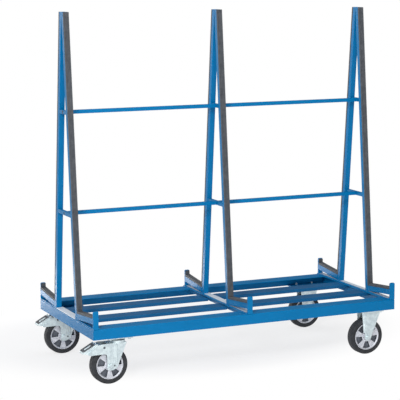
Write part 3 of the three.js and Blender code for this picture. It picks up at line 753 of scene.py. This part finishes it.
def makeWelds():
    seams = {kind: [] for kind in weld["lengths"]}
    deckLeft, deckRight = (corner.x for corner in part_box("front_rail"))

    def isBare(x):  # a face away from the deck's ends
        return deckLeft + weld["margin"] < x < deckRight - weld["margin"]

    for station in stations:
        for side, sign in sides.items():
            low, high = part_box("leg_" + station + "_" + side)
            foot = low.z
            inner, outer = sign * legFace(foot, False), sign * legFace(foot, True)
            rise = weld["lengths"]["face"]
            for x in filter(isBare, (low.x, high.x)):
                seams["foot"].append(((x, inner, foot), (x, outer, foot)))
                seams["face"].append(((x, outer, foot), (x, outer - sign * rise * leanTan, foot + rise)))
            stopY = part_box("foot_bar_" + station)[1 if sign > 0 else 0].y
            for y in (inner, stopY):
                seams["face"].append(((low.x, y, foot), (high.x, y, foot)))
    for bar in ("upper_bar", "lower_bar"):
        low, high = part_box(bar)
        middle, half = (low.x + high.x) / 2, weld["tieWidth"] / 2
        for x in filter(isBare, (low.x, low.x + weld["tieWidth"], middle - half, middle + half,
                                 high.x - weld["tieWidth"], high.x)):
            for sign in sides.values():
                seams["tie"].append(((x, sign * legFace(low.z, False), low.z),
                                     (x, sign * legFace(high.z, False), high.z)))
    groups = []
    for kind, lines in seams.items():
        pattern = makeBead("weldBead", weld["lengths"][kind])
        groups.append(placeCopies(pattern, "weldRun", [beadMove(start, end) for start, end in lines]))
        bpy.data.objects.remove(pattern)
    fit(joinPieces(groups, "weldBeads"), bluePaint, "cart_frame", "blue_paint")


makeWelds()
print("plugs and welds made")


# floor, light and camera
floorLook = {"size": 60, "start": 0.9, "metal": 0.0, "level": 0.0, "cloud": (2, 3), "stops": (0.3, 0.7),
             "tones": ((226, 226, 230), (228, 228, 232)),
             "fade": (0.8, 1.2), "lift": (0.74, 1.0),
             "fadeScale": (0.8, 1.1, 1.0), "fadeShift": (0.0, -0.6, 0.0)}


def makeFloor():  # pale floor that keeps the shadows and fades to white away from the cart
    deselectAll()
    bpy.ops.mesh.primitive_plane_add(size=floorLook["size"], location=(0, 0, 0))
    floor = bpy.context.object
    floor.name = "studioFloor"
    material, tree, shader, where = startMaterial("paleFloor", floorLook["start"], floorLook["metal"],
                                                  floorLook["level"])
    addRamp(tree, addNoise(tree, where, *floorLook["cloud"]), shader.inputs["Base Color"],
            floorLook["stops"], floorLook["tones"])
    squeeze = tree.nodes.new("ShaderNodeMapping")  # the shadows reach further behind the cart
    squeeze.inputs["Scale"].default_value = floorLook["fadeScale"]
    squeeze.inputs["Location"].default_value = floorLook["fadeShift"]
    tree.links.new(where, squeeze.inputs["Vector"])
    far = tree.nodes.new("ShaderNodeVectorMath")
    far.operation = "LENGTH"
    tree.links.new(squeeze.outputs["Vector"], far.inputs[0])
    fade = addSpread(tree, far.outputs["Value"], floorLook["fade"], floorLook["lift"], "SMOOTHSTEP")
    rays = tree.nodes.new("ShaderNodeLightPath").outputs
    seen = addMath(tree, "MAXIMUM", rays["Is Camera Ray"], rays["Is Transmission Ray"])
    seen = addMath(tree, "MAXIMUM", seen, rays["Is Glossy Ray"])
    white = tree.nodes.new("ShaderNodeEmission")
    share = addMath(tree, "MULTIPLY", fade, seen)
    whole = addBlend(tree, share, shader.outputs["BSDF"], white.outputs["Emission"])
    tree.links.new(whole, tree.nodes["Material Output"].inputs["Surface"])
    floor.data.materials.append(material)


worldLook = {"ambient": 0.42, "tint": (0.97, 0.985, 1.0, 1.0), "white": (1.0, 1.0, 1.0, 1.0),
             "dimAcross": (-0.35, 0.5), "dimLevels": (1.0, 0.14)}


def makeWorld():  # white to the eye, soft ambient on the object, and reflections bright on the left only
    world = bpy.data.worlds.new("studioWorld")
    bpy.context.scene.world = world
    world.use_nodes = True
    tree = world.node_tree
    plain = tree.nodes["Background"]
    plain.inputs["Color"].default_value = worldLook["tint"]
    plain.inputs["Strength"].default_value = worldLook["ambient"]
    white = tree.nodes.new("ShaderNodeBackground")
    mirrored = tree.nodes.new("ShaderNodeBackground")
    for bright in (white, mirrored):
        bright.inputs["Color"].default_value = worldLook["white"]
    heading = tree.nodes.new("ShaderNodeSeparateXYZ")
    tree.links.new(tree.nodes.new("ShaderNodeTexCoord").outputs["Generated"], heading.inputs["Vector"])
    dim = addSpread(tree, heading.outputs["X"], worldLook["dimAcross"], worldLook["dimLevels"],
                    "SMOOTHSTEP")
    tree.links.new(dim, mirrored.inputs["Strength"])
    rays = tree.nodes.new("ShaderNodeLightPath").outputs
    seen = addMath(tree, "MAXIMUM", rays["Is Camera Ray"], rays["Is Transmission Ray"])
    inGloss = addBlend(tree, rays["Is Glossy Ray"], plain.outputs["Background"],
                       mirrored.outputs["Background"])
    toEye = addBlend(tree, seen, inGloss, white.outputs["Background"])
    tree.links.new(toEye, tree.nodes["World Output"].inputs["Surface"])


lamps = {"keyLamp": {"place": (-4.3, -5.1, 4.0), "target": (0, 0, 0.8), "size": 1.4, "power": 275},
         "topLamp": {"place": (0.5, 0.0, 5.5), "target": (0, 0, 0.5), "size": 4.0, "power": 70},
         "fillLamp": {"place": (-1.5, -7.5, 1.5), "target": (0, 0, 0.6), "size": 2.4, "power": 150},
         "backLamp": {"place": (-3.0, 6.0, 3.0), "target": (0, 0, 0.8), "size": 3.0, "power": 80},
         "lowLamp": {"place": (-0.62, 1.72, 0.11), "target": (-0.5, 0, 0.28), "size": 2.1, "height": 0.2,
                     "power": 11.5}}


def makeLamp(name):
    settings = lamps[name]
    deselectAll()
    bpy.ops.object.light_add(type="AREA", location=settings["place"])
    lamp = bpy.context.object
    lamp.name = name
    lamp.data.energy = settings["power"]
    lamp.data.size = settings["size"]
    if "height" in settings:
        lamp.data.shape = "RECTANGLE"
        lamp.data.size_y = settings["height"]
    aim = Vector(settings["target"]) - Vector(settings["place"])
    lamp.rotation_euler = aim.to_track_quat("-Z", "Y").to_euler()


view = {"lens": 144.0, "sensor": 36.0, "place": (-3.672, -8.007, 2.177),
        "down": 8.43, "turn": -24.198, "roll": 0.19}


def makeCamera():
    deselectAll()
    bpy.ops.object.camera_add(location=view["place"])
    camera = bpy.context.object
    camera.name = "viewCamera"
    camera.data.lens = view["lens"]
    camera.data.sensor_width = view["sensor"]
    camera.rotation_euler = [math.radians(a) for a in (90 - view["down"], view["roll"], view["turn"])]
    bpy.context.scene.camera = camera


makeFloor()
makeWorld()
for name in lamps:
    makeLamp(name)
makeCamera()
bpy.context.scene.view_settings.view_transform = "Standard"
print("studio made")
